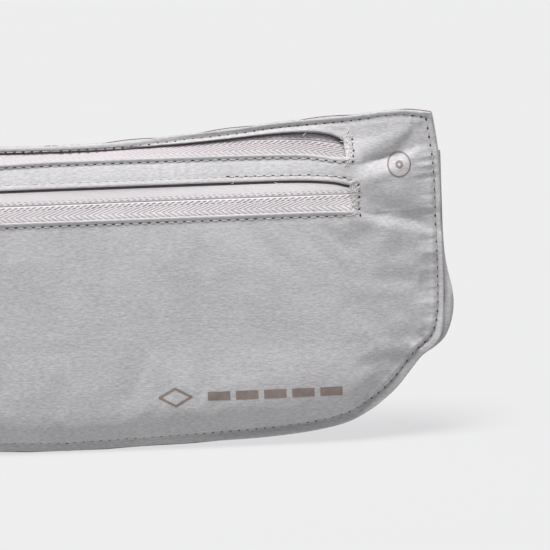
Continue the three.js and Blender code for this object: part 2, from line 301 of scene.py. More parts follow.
def spacer_mesh(name, light, dark):
    """Warp-knit spacer fabric: staggered rows of small open holes between soft ribs."""
    n = Nodes(name)
    pitch = 1.7
    x, y, z = n.coordinates("UV")
    jitter = n.times(n.noise(n.vector(x, y), 0.4, 2.0), 0.35)
    row = n.wave(n.maths("ADD", y, jitter), pitch)
    even = n.wave(n.maths("ADD", x, jitter), pitch * 1.1)
    odd = n.wave(n.maths("ADD", x, jitter), pitch * 1.1, math.pi)
    hole = n.maths("MAXIMUM", n.times(row, even),
                   n.times(n.maths("SUBTRACT", 1.0, row), odd))
    open_hole = n.band(hole, 0.62, 2.0, 0.14)
    knit = n.noise(n.vector(n.times(x, 3.0), n.times(y, 1.6)), 1.0, 2.0)
    base = n.mix(knit, light, n.mix(0.35, light, dark))
    color = n.mix(n.times(open_hole, 0.8), base, dark)
    height = n.maths("SUBTRACT", n.times(knit, 0.3), open_hole)
    return n.finish(color, 0.85, height, 0.25, Sheen_Weight=0.3, Specular_IOR_Level=0.25)


shell_cloth = face_fabric("shell_cloth", srgb("B2B1B2"), srgb("9A989A"))
thread_light = plain("thread_light", srgb("C9C4C2"), srgb("8F8986"), 0.7, 6.0)
yarn_white = plain("yarn_white", srgb("E4E1DF"), srgb("BDB8B5"), 0.7, 6.0)
# Dark colour for the needle holes: painted shade of the holes where the thread goes in.
needle_hole_shade = plain("needle_hole_shade", srgb("4C4543"), srgb("2C2828"), 0.9, 3.0)
# Dark brown for the line at the sewn edge: painted shade of the gap between the layers.
edge_gap_shade = plain("edge_gap_shade", srgb("9A8D85"), srgb("74675F"), 0.9, 2.0)
gap_shade = plain("gap_shade", srgb("5E4F55"), srgb("43383D"), 0.9, 3.0)
mark_ink = plain("mark_ink", srgb("84786F"), srgb("6C605E"), 0.8, 4.0, 0.01)


# ---------------- outline and front panel
PANEL = 0.8                     # thickness of the CAD's front panel
RIM_Y = node_box("front_panel")[1][1] - PANEL  # outer side of the front's sewn edge
BACK_Y = node_box("back_panel")[1][1]          # outer side of the back
PITCH = 3.3                     # lockstitch length
HEM, NARROW_HEM = 3.2, 1.95     # sewn edge to stitch row, low down and at the sides and top
ROW_BEND = 40                   # below this height, rows of points follow the bottom edge
LOW_CORNER = (118, 13)          # (x, z) where the bottom edge hands over to the side
TOP_CORNER = (142.4, 124)       # and where the side hands over to the top edge

# BOTTOM and TOP give the height over |x|, and SIDE gives |x| over the height.
BOTTOM = [(0, 0.0), (37, 1.2), (60, 2.1), (82, 3.4), (96, 5.0), (106, 7.1), (111, 9.0), LOW_CORNER]
SIDE = [LOW_CORNER[::-1], (18, 124.2), (21, 127.3), (28.6, 133.6), (32.4, 136.8), (34.5, 139.8), (38, 143.2),
        (41.5, 144.5), (52, 145.2), (62, 145.4), (84, 145.2), (102, 145), (116, 143.6),
        TOP_CORNER[::-1]]
TOP = [(0, 116.9), (24, 117.4), (50, 119.3), (71, 121), (83, 122.4), (110, 124), (131, 125.6),
       TOP_CORNER]


def outline_points():
    """Sewn outline from the middle of the bottom, round the right side, to the middle of the top."""
    b = [(x, float(smooth_curve(BOTTOM, x))) for x in np.arange(0, LOW_CORNER[0], 1.0)]
    s = [(float(smooth_curve(SIDE, z)), z) for z in np.arange(LOW_CORNER[1], TOP_CORNER[1], 1.0)]
    t = [(x, float(smooth_curve(TOP, x))) for x in np.arange(TOP_CORNER[0], 0, -1.0)]
    return np.array(b + s + t)


half_outline = outline_points()
OUTLINE = np.concatenate([half_outline, half_outline[::-1] * [-1, 1]])
seg_a, seg_b = OUTLINE, np.roll(OUTLINE, -1, axis=0)
seg_len = np.hypot(*(seg_b - seg_a).T)
seg_start = np.concatenate([[0], np.cumsum(seg_len)[:-1]])


def edge_distance(x, z):
    """Distance to the outline, and how far along it the nearest point is."""
    p = np.stack([np.ravel(x), np.ravel(z)], 1)
    best, along = np.full(len(p), 1e9), np.zeros(len(p))
    for a, b, l, s in zip(seg_a, seg_b, seg_len, seg_start):
        if l < 1e-6:
            continue
        t = np.clip((p - a) @ (b - a) / l ** 2, 0, 1)
        d = np.hypot(*(p - a - t[:, None] * (b - a)).T)
        near = d < best
        best[near], along[near] = d[near], (s + t * l)[near]
    return best.reshape(np.shape(x)), along.reshape(np.shape(x))


# Guide rows of the front: heights over |x| up to the side seam, and depths in the middle of the width.
GUIDES = {
    "low_stitch": ([(0, 87.4), (113, 87.3), (145, 86)], [(0, -14.5), (145, -14.4)]),
    "low_lip": ([(0, 89.5), (97, 89.5), (112, 89.2), (145, 89)], [(0, -14.4), (145, -14.2)]),
    "mid_lip": ([(0, 101.6), (86, 101.4), (105, 100.2), (112, 98.7), (145, 99)],
                [(0, -15.1), (100, -15), (112, -14), (145, -14)]),
    "mid_stitch": ([(0, 103.7), (86, 103.3), (105, 102.3), (113, 101), (145, 101.5)],
                   [(0, -14.5), (104, -14.4), (112, -14), (145, -14)]),
    "strap": ([(0, 109.7), (82, 109.8), (98, 108.8), (110, 107.2), (144.6, 107)],
              [(0, -11.5), (85, -11.9), (108, -13.5), (145, -14)]),
    "up_lip": ([(0, 111.7), (40, 111.6), (94, 111), (110.6, 109.1), (144.3, 110)],
               [(0, -11.2), (60, -11.4), (92, -12), (108, -12.4), (121, -12.9), (133, -14), (145, -14)]),
    "top_lip": ([(0, 115.2), (18, 115.3), (52, 116.4), (94, 118.8), (105, 117.3), (110.6, 115.1),
                 (143.5, 117)],
                [(0, -6.9), (17, -7.0), (50, -7.5), (92, -7.8), (108, -8.2), (121, -9.2), (133, -11.5),
                 (145, -12)]),
    "top_stitch": ([(0, 115.8), (24, 116.1), (50, 117.6), (71, 119.2), (83, 120.5), (110, 122.1),
                    (131, 123.6), (142.7, 122.2)],
                   [(0, -6.3), (108, -6.4), (121, -6.9), (133, -7.6), (145, -7.6)]),
    "top": (TOP, [(0, -6), (145, -6)]),
}
# On the left, where both sliders rest, the upper zip lies open on the plane it runs in.
LEFT_GUIDES = {
    "up_lip": ([(0, 111.7), (40, 110.6), (70, 109.9), (108, 109.7), (142.8, 110)],
               [(0, -11.2), (40, -12.4), (70, -13.2), (145, -13.5)]),
    "top_lip": ([(0, 115.3), (60, 115.7), (108, 115.9), (141.6, 117)],
                [(0, -6.9), (60, -6.6), (108, -6.6), (145, -8)]),
}
ORDER = list(GUIDES)


def guide(name, x):
    """Height and depth of a guide row at x."""
    rows, depths = GUIDES[name]
    left_rows, left_depths = LEFT_GUIDES.get(name, GUIDES[name])
    far = np.abs(x)
    return (np.where(x < 0, smooth_curve(left_rows, far), smooth_curve(rows, far)),
            np.where(x < 0, smooth_curve(left_depths, far), smooth_curve(depths, far)))


COLS = 321
u = np.linspace(-1, 1, COLS)
rows = []      # x, z and y along each row of points, and the guide that the row starts from


def side_x(z):
    return float(smooth_curve(SIDE, z))


def low_row_x(h):
    """Half width of a row that follows the bottom edge, h above it in the middle."""
    return side_x(LOW_CORNER[1] + (ROW_BEND - LOW_CORNER[1]) * h / ROW_BEND)


for h in np.concatenate([[0, 0.5, 1.1, 1.7, 2.3, 2.8, 3.2, 3.7, 4.3, 5], np.arange(6, ROW_BEND, 1.15)]):
    low = smooth_curve(BOTTOM, np.abs(u) * LOW_CORNER[0])
    y = np.full(COLS, -13.56 - 0.45 * (ROW_BEND - h) / ROW_BEND)
    rows.append((u * low_row_x(h), (1 - h / ROW_BEND) * low + h, y, "body"))
for h in np.arange(ROW_BEND, 86.5, 1.2):
    y = np.full(COLS, -14.0 - 0.5 * (h - 62) / 25)
    rows.append((u * side_x(h), np.full(COLS, h), y, "body"))
SPLITS = {"low_stitch": 5, "low_lip": 8, "mid_lip": 5, "mid_stitch": 9, "strap": 5, "up_lip": 7,
          "top_lip": 5, "top_stitch": 4}
for a, b in zip(ORDER[:-1], ORDER[1:]):
    for i in range(SPLITS[a]):
        f = i / SPLITS[a]
        end_z = (1 - f) * GUIDES[a][0][-1][1] + f * GUIDES[b][0][-1][1]
        x = u * side_x(end_z)
        (za, ya), (zb, yb) = guide(a, x), guide(b, x)
        rows.append((x, (1 - f) * za + f * zb, (1 - f) * ya + f * yb, a))
x = u * TOP_CORNER[0]
rows.append((x, smooth_curve(TOP, np.abs(x)), np.full(COLS, -6.0), "top"))
X, Z, D = (np.array([row[k] for row in rows]) for k in range(3))
ROWS = len(X)
dist, along = edge_distance(X, Z)


def narrow_share(x, z):
    """1 where the hem is narrow, at the top and up the sides, and 0 low down."""
    return np.where(z > 100, 1, ease(138, 140, np.abs(x)) * ease(38, 52, z))


hem_at = NARROW_HEM + (HEM - NARROW_HEM) * (1 - narrow_share(X, Z))


def swell(x, z, hem=0.0):
    """Share of the full depth at a point of the front."""
    end = np.array([side_x(v) for v in np.ravel(z)]).reshape(np.shape(z))
    t = np.clip((np.abs(x) - 108) / np.maximum(end - 108, 1), 0, 1)
    sides = np.cos(t * math.pi / 2) ** 1.1
    low = smooth_curve(BOTTOM, np.minimum(np.abs(x), LOW_CORNER[0]))
    up = np.clip((z - low - hem) / 15, 0, 1)
    bottom = 1 - (1 - up) ** 2.3
    return sides * np.where(z < 60, bottom, 1)


full = swell(X, Z, 2.6)
Y = RIM_Y + (D - RIM_Y) * full

# Sewing: the folded edge stands out, the stitch line pulls in, and the panel puffs over it in puckers.
stitch_wave = np.cos(along * 2 * math.pi / PITCH)
low_half = ease(100, 90, Z)
turned = ease(38, 75, np.abs(X))
in_hem = 1 - np.clip(dist / hem_at, 0, 1)
flare = ((2.0 * turned - 0.65) * low_half + (1 - low_half)) * in_hem ** 0.8
upright = (Z > 100) & (np.abs(X) < 139)
flare = np.where(upright, in_hem ** 0.7 - 0.3 * bump_at(dist, 0, 0.35), flare)
Y -= flare
Y += (0.4 + 0.15 * stitch_wave + 0.45 * low_half) * bump_at(dist, hem_at, 0.5)
Y -= 0.6 * bump_at(dist, hem_at + 1.5, 1.0) * (1 - 0.3 * stitch_wave) * np.where(Z > 100, 0.5, 1)
Y += 0.16 * stitch_wave * bump_at(dist, hem_at + 2.5, 3.2) * ease(126, 134, np.abs(X))
pucker = field(along, along * 0, 5.5, 3.1) * bump_at(dist, hem_at + 2.8, 2.8)
Y -= 0.55 * pucker * np.where(Z > 105, 0.35, 1)

# Rolled lips along both zips.
for name, inward, height in (("low_lip", -1, 0.62), ("mid_lip", 1, 0.3), ("up_lip", -1, 0.62),
                             ("top_lip", 1, 0.4)):
    z0, _ = guide(name, X)
    off = inward * (Z - z0)
    inside = ease(114, 111.3, np.abs(X))
    roll = height * bump_at(off, 0.45, 1.0) - 0.25 * bump_at(off, 0, 0.25) - 0.22 * bump_at(off, 2.15, 0.6)
    Y -= inside * roll * np.where(off > -0.01, 1, 0)

# Slack of the cloth: broad undulation, fine crinkle, and drag lines from the zip ends.
slack = ease(4, 20, dist)
Y -= slack * 0.3 * field(X, Z, 26, 1.7, 2.4) * np.where(Z > 87, 0.5, 1)
Y -= slack * 0.05 * field(X, Z, 6, 5.2, 3.0)
side = ease(100, 122, np.abs(X)) * ease(1.5, 9, dist)
Y -= side * 0.3 * field(X * 0.8 + Z * 0.6, Z - X * 0.5, 9, 8.4)

# Cells left out for the zip windows: half width of each window, as a share of its rows' half width.
WINDOWS = {"low_lip": 111.2 / 145, "up_lip": 109.6 / 144}
skip = [[abs(u[c] + u[c + 1]) / 2 < WINDOWS.get(row[3], 0) for c in range(COLS - 1)] for row in rows[:-1]]


def simulate_slack(rise, pressure, limit):
    """Cloth simulation of the panel, held at its seams and lips; gives how far each grid point moves."""
    rs = list(range(0, ROWS, 2)) + ([ROWS - 1] if (ROWS - 1) % 2 else [])
    cs = list(range(0, COLS, 2))
    pts = np.stack([X, Y, Z], -1)[np.ix_(rs, cs)]
    cut = [[skip[min(rs[r], ROWS - 2)][cs[c]] for c in range(len(cs) - 1)] for r in range(len(rs) - 1)]
    flat = pts.reshape(-1, 3)
    trial = new_object("cloth_trial", flat, grid_faces(len(rs), len(cs), cut), shell_cloth)
    d = dist[np.ix_(rs, cs)].ravel()
    wide, high = np.abs(flat[:, 0]), flat[:, 2]
    zipped = (high > 86) & (wide < 114) | (high > 105) & (wide < 124)
    held = trial.vertex_groups.new(name="held")
    held.add([int(i) for i in np.flatnonzero((d < HEM + 0.4) | zipped)], 1.0, "REPLACE")
    cloth = trial.modifiers.new("slack", "CLOTH")
    s = cloth.settings
    s.quality, s.mass, s.air_damping = 6, 0.1, 2.0
    s.tension_stiffness, s.compression_stiffness, s.shear_stiffness = 12, 12, 3
    s.bending_stiffness = 0.12
    s.vertex_group_mass = "held"
    s.shrink_min = -rise
    s.use_pressure, s.uniform_pressure_force = True, pressure
    s.effector_weights.gravity = 0
    for frame_number in range(1, 25):
        bpy.context.scene.frame_set(frame_number)
    graph = bpy.context.evaluated_depsgraph_get()
    after = trial.evaluated_get(graph).to_mesh()
    co = np.empty(len(after.vertices) * 3, np.float32)
    after.vertices.foreach_get("co", co)
    moved = (co.reshape(-1, 3) / MM - flat).reshape(len(rs), len(cs), 3)
    bpy.context.scene.frame_set(1)
    mesh = trial.data
    bpy.data.objects.remove(trial)
    bpy.data.meshes.remove(mesh)
    size = np.linalg.norm(moved, axis=2, keepdims=True)
    moved = moved * np.minimum(1, limit / np.maximum(size, 1e-6))
    out = np.zeros((ROWS, COLS, 3))
    for k in range(3):
        by_col = np.array([np.interp(range(COLS), cs, row) for row in moved[:, :, k]])
        out[:, :, k] = np.array([np.interp(range(ROWS), rs, col) for col in by_col.T]).T
    return out


slack_move = simulate_slack(rise=0.0022, pressure=0.45, limit=1.1)
X, Y, Z = X + slack_move[:, :, 0], Y + slack_move[:, :, 1], Z + slack_move[:, :, 2]
print("slack: largest move", round(float(np.abs(slack_move).max()), 2), "mm")


def fold(points, depth, above, below, taper=6):
    """A crease along a line of points: the cloth leans in above it and comes out again below."""
    px, pz = zip(*points)
    off = Z - np.interp(np.abs(X), px, pz)
    span = ease(px[0] - taper, px[0] + taper, np.abs(X))
    near = np.clip(1 - np.abs(off) / np.where(off > 0, above, below), 0, 1)
    return depth * span * near ** 1.6 * np.where(X > 0, 1.0, 0.45)


upper_fold = [(116, 106.4), (123, 107.6), (128.5, 109), (133.2, 112), (137.3, 114.6), (142.4, 115.9)]
lower_fold = [(118, 87.4), (123, 86.6), (134, 84.8), (138.5, 83.6), (144, 81.6)]
sink = (fold(upper_fold, depth=4.2, above=7.5, below=6.0)
        + fold(lower_fold, depth=2.4, above=10.0, below=4.5, taper=5))
Y += np.minimum(sink, 0.7 * np.maximum(RIM_Y - Y, 0))

shell_points = np.stack([X, Y, Z], -1).reshape(-1, 3)
shell_uv = np.stack([X, Z], -1).reshape(-1, 2)
front = new_object("front_cloth", shell_points, grid_faces(ROWS, COLS, skip), shell_cloth, shell_uv)
thicken(front, 0.55)
place(front, "pouch", "face_fabric", "front_panel")
solid_front = [tuple(p * MM) for p in shell_points]
surface = BVHTree.FromPolygons(solid_front, grid_faces(ROWS, COLS))


def probe(tree, x, z, side, near_y):
    """Point and outward normal of a surface at (x, z), in millimetres. side is -1 in front, 1 behind."""
    hit, normal, _, _ = tree.ray_cast(Vector((x * MM, side * 0.2, z * MM)), Vector((0, -side, 0)))
    if hit is None:
        hit, normal, _, _ = tree.find_nearest(Vector((x * MM, near_y * MM, z * MM)))
    return hit / MM, -normal if normal.y * side < 0 else normal


def on_front(x, z):
    return probe(surface, x, z, -1, RIM_Y)


# ---------------- threads and tubes
class Bundle:
    """Collects small meshes that make one piece."""

    def __init__(self):
        self.verts, self.faces = [], []

    def rings(self, rings):
        """Skin over rings of equal length, closed at both ends."""
        base, n = len(self.verts), len(rings[0])
        for r in rings:
            self.verts.extend(r)
        for i in range(len(rings) - 1):
            for k in range(n):
                a, b = base + i * n + k, base + i * n + (k + 1) % n
                self.faces.append([a, b, b + n, a + n])
        self.faces.append([base + k for k in range(n)][::-1])
        self.faces.append([base + (len(rings) - 1) * n + k for k in range(n)])

    def tube(self, points, radius, sides=6, flat=1.0, up=(0, -1, 0), taper=0.35):
        """Round or flattened tube along points, tapered at its ends."""
        p = [Vector(q) for q in points]
        rings = []
        for i, q in enumerate(p):
            along_path = (p[min(i + 1, len(p) - 1)] - p[max(i - 1, 0)]).normalized()
            across = along_path.cross(Vector(up))
            across = across.normalized() if across.length > 1e-6 else along_path.orthogonal().normalized()
            over = across.cross(along_path)
            end = taper if i in (0, len(p) - 1) else 1.0
            rings.append([q + (across * math.cos(a) + over * math.sin(a) * flat) * radius * end
                          for a in angles(sides)])
        self.rings(rings)

    def object(self, name, material):
        return new_object(name, self.verts, self.faces, material)


def stitches(threads, holes, path, pitch=PITCH, lift=0.1, radius=0.23, locate=on_front, seed=1, oval=1.9):
    """Lockstitches along a path of (x, z) points, with a dark disc of painted shade for the needle hole
    between neighbours.
    """
    rng = np.random.default_rng(seed)
    p = np.array(path, float)
    run = run_along(p)
    count = max(int(run[-1] / pitch), 1)
    step = run[-1] / count

    def at(s):
        return np.interp(s, run, p[:, 0]), np.interp(s, run, p[:, 1])

    for i in range(count):
        a, b = i * step + 0.32, (i + 1) * step - 0.32
        pts = []
        for f, rise in ((0, -0.30), (0.12, -0.02), (0.5, 0.10), (0.88, -0.02), (1, -0.30)):
            x, z = at(a + (b - a) * f)
            q, n = locate(x, z + rng.normal(0, 0.04))
            pts.append(q + n * (lift + rise))
        threads.tube(pts, radius * (0.9 + 0.2 * rng.random()), 6, 0.8, up=n)
        # Needle hole: a shallow oval disc on the cloth, in the dark material of painted shade.
        x, z = at(i * step)
        q, n = locate(x, z)
        x2, z2 = at(i * step + 0.5)
        ahead = (locate(x2, z2)[0] - q).normalized()
        side_dir = ahead.cross(n)
        rings = []
        for f in (-0.5, -0.3, 0.0, 0.3, 0.5):
            w = math.sqrt(max(0.28 - f * f, 0.004)) * (0.62 if oval > 1.2 else 0.8)
            c = q + ahead * f * oval + n * 0.03 - side_dir * 0.12
            rings.append([c + side_dir * w * math.cos(t) + n * 0.07 * math.sin(t)
                          for t in angles(6)])
        holes.rings(rings)


# ---------------- zip tapes
zip_joints = {j["name"]: j for j in frame["record"]["behaviour"]["joints"]}


def tape_material(name, contrast, light, shadow, left_share):
    """Herringbone zip tape: UV is (along, across) in mm, with across 0 on the chain line."""
    n = Nodes(name)
    x, y, z = n.coordinates("UV")
    pitch = 2.35
    jitter = n.times(n.maths("SUBTRACT", n.noise(n.vector(x, y), 0.35, 2.0), 0.5), 0.9)
    along_tape = n.maths("ADD", x, jitter)

    def stripes(slope, phase=0.0, every=pitch):
        return n.wave(n.times_add(y, -slope, along_tape), every, phase)

    def dark(value, low, share):
        return n.times(n.band(value, low, 2.0, 0.16), share)

    long_twill = n.times(stripes(2.6), n.band(y, -4.5, -2.0, 0.15))
    turned = n.times(stripes(-1.7, 0.6), n.band(y, -6.8, -4.5, 0.15))
    rows = [dark(long_twill, 0.66, 0.6), dark(turned, 0.7, 0.45),
            dark(n.times(stripes(2.2, 1.0), n.band(y, -1.95, -1.3, 0.12)), 0.55, 0.85),
            dark(n.times(stripes(1.6, 3.0), n.band(y, -1.15, -0.55, 0.12)), 0.5, 0.8),
            dark(n.times(stripes(0.5, 2.0), n.band(y, 0.5, 0.95, 0.1)), 0.55, 0.6),
            dark(n.times(stripes(0.5, 4.6), n.band(y, 1.25, 1.6, 0.1)), 0.6, 0.4),
            n.times(n.band(y, -0.14, 0.12, 0.07), 0.75)]
    marks = rows[0]
    for row in rows[1:]:
        marks = n.maths("MAXIMUM", marks, row)
    twill = n.wave(n.times_add(y, -1.2, along_tape), 0.8)
    cloud = n.noise(n.vector(x, y), 0.1, 3.0)
    marks = n.times(marks, n.times_add(cloud, 0.8 * contrast, 0.6 * contrast))
    fade = n.band(x, 55, 400, 45)
    marks = n.times(marks, n.times_add(fade, 1 - left_share, left_share))
    # Painted light: above the chain line the tape is mixed towards white, to lift the shadow its lip casts;
    # left_share sets how much.
    painted_light_above_chain = n.band(y, 1.9, 20, 1.2)
    base = n.mix(n.times(twill, 0.8), srgb(light), srgb(shadow))
    base = n.mix(n.times(painted_light_above_chain, left_share * 0.6), base, srgb("FFFCFD"))
    color = n.mix(marks, base, srgb("665A60"))
    height = n.maths("SUBTRACT", n.times(twill, 0.25), marks)
    return n.finish(color, 0.75, height, 0.3, Sheen_Weight=0.2, Specular_IOR_Level=0.3)


lower_tape_cloth = tape_material("lower_tape_weave", 0.9, "F4EFF1", "DED8DB", 1.0)
# The upper tape is the same weave in darker tones: painted shade of its recess under the top lip.
upper_tape_shaded = tape_material("upper_tape_weave", 0.95, "BDB8BA", "A9A3A6", 0.35)


def tape(name, node, low_edge, high_edge, centre, x_half, across, sag):
    """One half of a zip: a tape under a lip. across = its two edges, in mm up from the lower lip."""
    xs = np.arange(-x_half, x_half + 0.01, 1.0)
    shares = np.linspace(0, 1, 11)
    verts, uv = [], []
    for f in shares:
        for x in xs:
            (z0, y0), (z1, y1) = guide(low_edge, x), guide(high_edge, x)
            span = np.array([float(y1 - y0), float(z1 - z0)])
            size = np.hypot(*span)
            run = span / size
            s = (1 - f) * across[0](x) + f * across[1](x)
            y, z = np.array([float(y0), float(z0)]) + run * s + np.array([run[1], -run[0]]) * sag(x, s, size)
            verts.append((x, y, z))
            uv.append((x, s - centre(x)))
    o = new_object(name, verts, grid_faces(len(shares), len(xs)),
                   lower_tape_cloth if node.startswith("lower") else upper_tape_shaded, uv)
    thicken(o, 0.4)
    return place(o, "pouch", "zip_tape", node)


def low_sag(x, s, size):
    """The tape lies just under the lower lip and falls away behind the upper one."""
    return 1.15 - 0.5 * float(ease(size - 5, size - 1, s)) + 0.15 * math.sin(x / 17.0) * float(ease(0, 4, s))


def up_sag(x, s, size):
    """The upper tape lies deeper at its right end and behind the top lip."""
    end, behind = float(ease(84, 94, x)), float(ease(size - 0.7, size + 0.6, s))
    return 1.0 + 0.9 * end + 0.7 * behind + 0.06 * math.sin(x / 13.0 + 1)


low_centre = zip_joints["lower_pull_flip"]["pos_m"][2] / MM


def low_chain(x):
    """How far the chain line is up from the lower lip of its window."""
    return low_centre - float(guide("low_lip", x)[0])


def up_chain(x):
    return float(smooth_curve([(-110, 4.7), (-62, 4.7), (5, 6.5), (110, 6.5)], x))


tape("lower_tape_below", "lower_zip_tape_front", "low_lip", "mid_lip", low_chain, 114,
     (lambda x: low_chain(x) - 8.6, lambda x: low_chain(x) - 0.02), low_sag)
tape("lower_tape_above", "lower_zip_tape_rear", "low_lip", "mid_lip", low_chain, 114,
     (lambda x: low_chain(x) + 0.02,
      lambda x: float(guide("mid_lip", x)[0] - guide("low_lip", x)[0]) + 0.8), low_sag)
tape("upper_tape_below", "upper_zip_tape_front", "up_lip", "top_lip", up_chain, 112,
     (lambda x: -0.5, lambda x: up_chain(x) - 0.02), up_sag)
tape("upper_tape_above", "upper_zip_tape_rear", "up_lip", "top_lip", up_chain, 112,
     (lambda x: up_chain(x) + 0.02, lambda x: up_chain(x) + 4.0), up_sag)


def lip_point(low_edge, high_edge, x, s, depth):
    """Point s mm up from the lower lip of a zip window, depth mm under the plane of its lips."""
    (z0, y0), (z1, y1) = guide(low_edge, x), guide(high_edge, x)
    run = Vector((0, float(y1 - y0), float(z1 - z0)))
    size = run.length
    run /= size
    s = size + s if s < 0 else s
    return Vector((x, float(y0), float(z0))) + run * s + Vector((0, run.z, -run.y)) * depth


def shade_strip(name, low_edge, high_edge, x_half, across):
    """Dark strip of painted shade in the slit between a lip and its tape, where the opening lies in shadow.
    """
    xs = np.arange(-x_half, x_half + 0.01, 2.0)
    verts, uv = [], []
    for s, depth in across:
        for x in xs:
            verts.append(lip_point(low_edge, high_edge, x, s, depth))
            uv.append((x, s))
    o = new_object(name, verts, grid_faces(len(across), len(xs)), gap_shade, uv)
    thicken(o, 0.15)
    return place(o, "pouch", "lining")


# Painted shade in the slits of both zips.
shade_strip("lower_zip_binding", "low_lip", "mid_lip", 111, [(-1.05, 0.5), (-0.7, 0.48), (-0.1, 0.45)])
shade_strip("upper_zip_binding", "up_lip", "top_lip", 109.2, [(-0.45, 0.85), (-0.25, 0.75), (-0.05, 0.6)])

coil_look = plain("coil_nylon", srgb("D8CFD2"), srgb("B5ABAF"), 0.4, 2.0, 0.02)
for zone, low_edge, high_edge, chain in (("lower", "low_lip", "mid_lip", low_chain),
                                         ("upper", "up_lip", "top_lip", up_chain)):
    for part, off in (("front", -1.2), ("rear", 1.2)):
        coil = Bundle()
        ringed = []
        for i, x in enumerate(np.arange(-106.5, 105.5, 0.47)):
            wide = 0.72 + 0.26 * math.cos(i * 2 * math.pi / 5)
            deep = 4.1 if zone == "upper" else 2.9
            c = lip_point(low_edge, high_edge, x, chain(x) + off, deep)
            ringed.append([c + Vector((0, 0.62 * math.cos(t), wide * math.sin(t)))
                           for t in angles(6)])
        coil.rings(ringed)
        place(coil.object(f"{zone}_coil_{part}", coil_look), "pouch", "zip_coil", f"{zone}_zip_coil_{part}")


# ---------------- stitching in front
def outline_direction(i, reach):
    """Unit direction of the outline at its point i, from the points that many places off."""
    step = half_outline[min(i + reach, len(half_outline) - 1)] - half_outline[max(i - reach, 0)]
    return step / np.hypot(*step)


def inset_path():
    """Hem stitch line: inside the outline by the hem, narrower at the sides and top."""
    pts = []
    for i, (x, z) in enumerate(half_outline):
        t = outline_direction(i, 3)
        inset = HEM + (NARROW_HEM - HEM) * float(narrow_share(x, z))
        pts.append((x - t[1] * inset, z + t[0] * inset))
    keep = [pts[0]]
    for i, q in enumerate(pts[1:], 1):
        (ax, az), (px, pz) = half_outline[i] - half_outline[i - 1], keep[-1]
        if math.hypot(q[0] - px, q[1] - pz) > 0.6 and (q[0] - px) * ax + (q[1] - pz) * az > 0:
            keep.append(q)
    return np.array(keep)


threads, holes = Bundle(), Bundle()
hem_path = inset_path()
for sign in (1, -1):
    stitches(threads, holes, hem_path * [sign, 1], lift=-0.03, radius=0.17, seed=3 + sign, oval=1.0)
for name, x_from, x_to, sunk in (("low_stitch", -113, 113, False), ("strap", -112.5, 112.5, False),
                                 ("mid_stitch", -113, -78, False), ("mid_stitch", -78, 66, True),
                                 ("mid_stitch", 66, 113, False)):
    xs = np.arange(x_from, x_to + 0.1, 1.5)
    stitches(threads, Bundle() if sunk else holes, np.stack([xs, guide(name, xs)[0]], 1),
             lift=-0.02 if sunk else 0.1, seed=len(name), radius=0.17 if sunk else 0.21)
for x_bar, z_low, z_high in ((113.6, 87.3, 100.9), (112, 107.2, 117.6)):
    for sign in (1, -1):
        for shift in (0, 0.9):
            zs = np.arange(z_low, z_high, 0.5)
            path = np.stack([sign * (x_bar + shift) + 0.25 * np.sin(zs * 2.1), zs], 1)
            stitches(threads, holes if shift else Bundle(), path, 2.1 if shift else 1.5, lift=0.02,
                     seed=int(x_bar) + sign, oval=0.9)
place(threads.object("seam_threads", thread_light), "pouch", "face_fabric")
# The needle holes in front are painted shade.
place(holes.object("needle_hole_shades", needle_hole_shade), "pouch", "face_fabric")

# The cut edge of the layers behind, a thin brown line just outside the sewn edge: its brown is painted shade
# of the gap between the layers.
edge = Bundle()
rim_line = []
for i, (x, z) in enumerate(half_outline):
    t = outline_direction(i, 2)
    out, sway = (0.2, 0.12) if z < 30 else (-0.05, 0.5)
    out += sway * math.sin(i * 0.17)
    rim_line.append((x + t[1] * out, RIM_Y + 0.9, max(z - t[0] * out, 0.2)))
for sign in (1, -1):
    edge.tube([(sign * x, y, z) for x, y, z in rim_line], 0.17, 6, up=(0, 1, 0), taper=1.0)
place(edge.object("cut_edge_shade", edge_gap_shade), "pouch", "lining")

# Loose yarn ends at the cut ends of the zip windows and along the middle lip.
rng = np.random.default_rng(11)
fluff = Bundle()


def yarn(x, z, length, angle, lift=0.35, curl=0.5, arch=0.5):
    pts = []
    for f in np.linspace(0, 1, 6):
        turn = angle + curl * (f - 0.3)
        qx, qz = x + length * f * math.cos(turn), z + length * f * math.sin(turn)
        q, n = on_front(qx, qz)
        pts.append(q + n * (lift + arch * math.sin(f * math.pi)))
    fluff.tube(pts, 0.09, 5, up=n)


for sign in (1, -1):
    for x_bar, z_low, z_high in ((112.6, 88.5, 101.5), (111.2, 107.5, 117.5)):
        for _ in range(24):
            yarn(sign * (x_bar + rng.normal(0, 0.9)), rng.uniform(z_low, z_high), rng.uniform(1.2, 3.4),
                 rng.uniform(0, 2 * math.pi), 0.1, rng.normal(0, 1.0), 0.15)
for x, z, length, angle in ((71, 100.6, 5.5, -0.95), (83, 101.2, 3.4, -0.5), (97, 90.2, 2.6, 0.9),
                            (67, 101, 2.6, 0.6), (94, 117, 2.2, 0.4), (-64, 100.6, 4.2, -2.2)):
    yarn(x, z, length, angle)
place(fluff.object("loose_yarn", yarn_white), "pouch", "face_fabric")


# ---------------- inner sheets and back
back_mesh = spacer_mesh("spacer_mesh", srgb("AEAFB4"), srgb("6F7077"))
lining_cloth = face_fabric("shield_lining", srgb("A9ACB0"), srgb("84878C"), 0.5, 0.04)


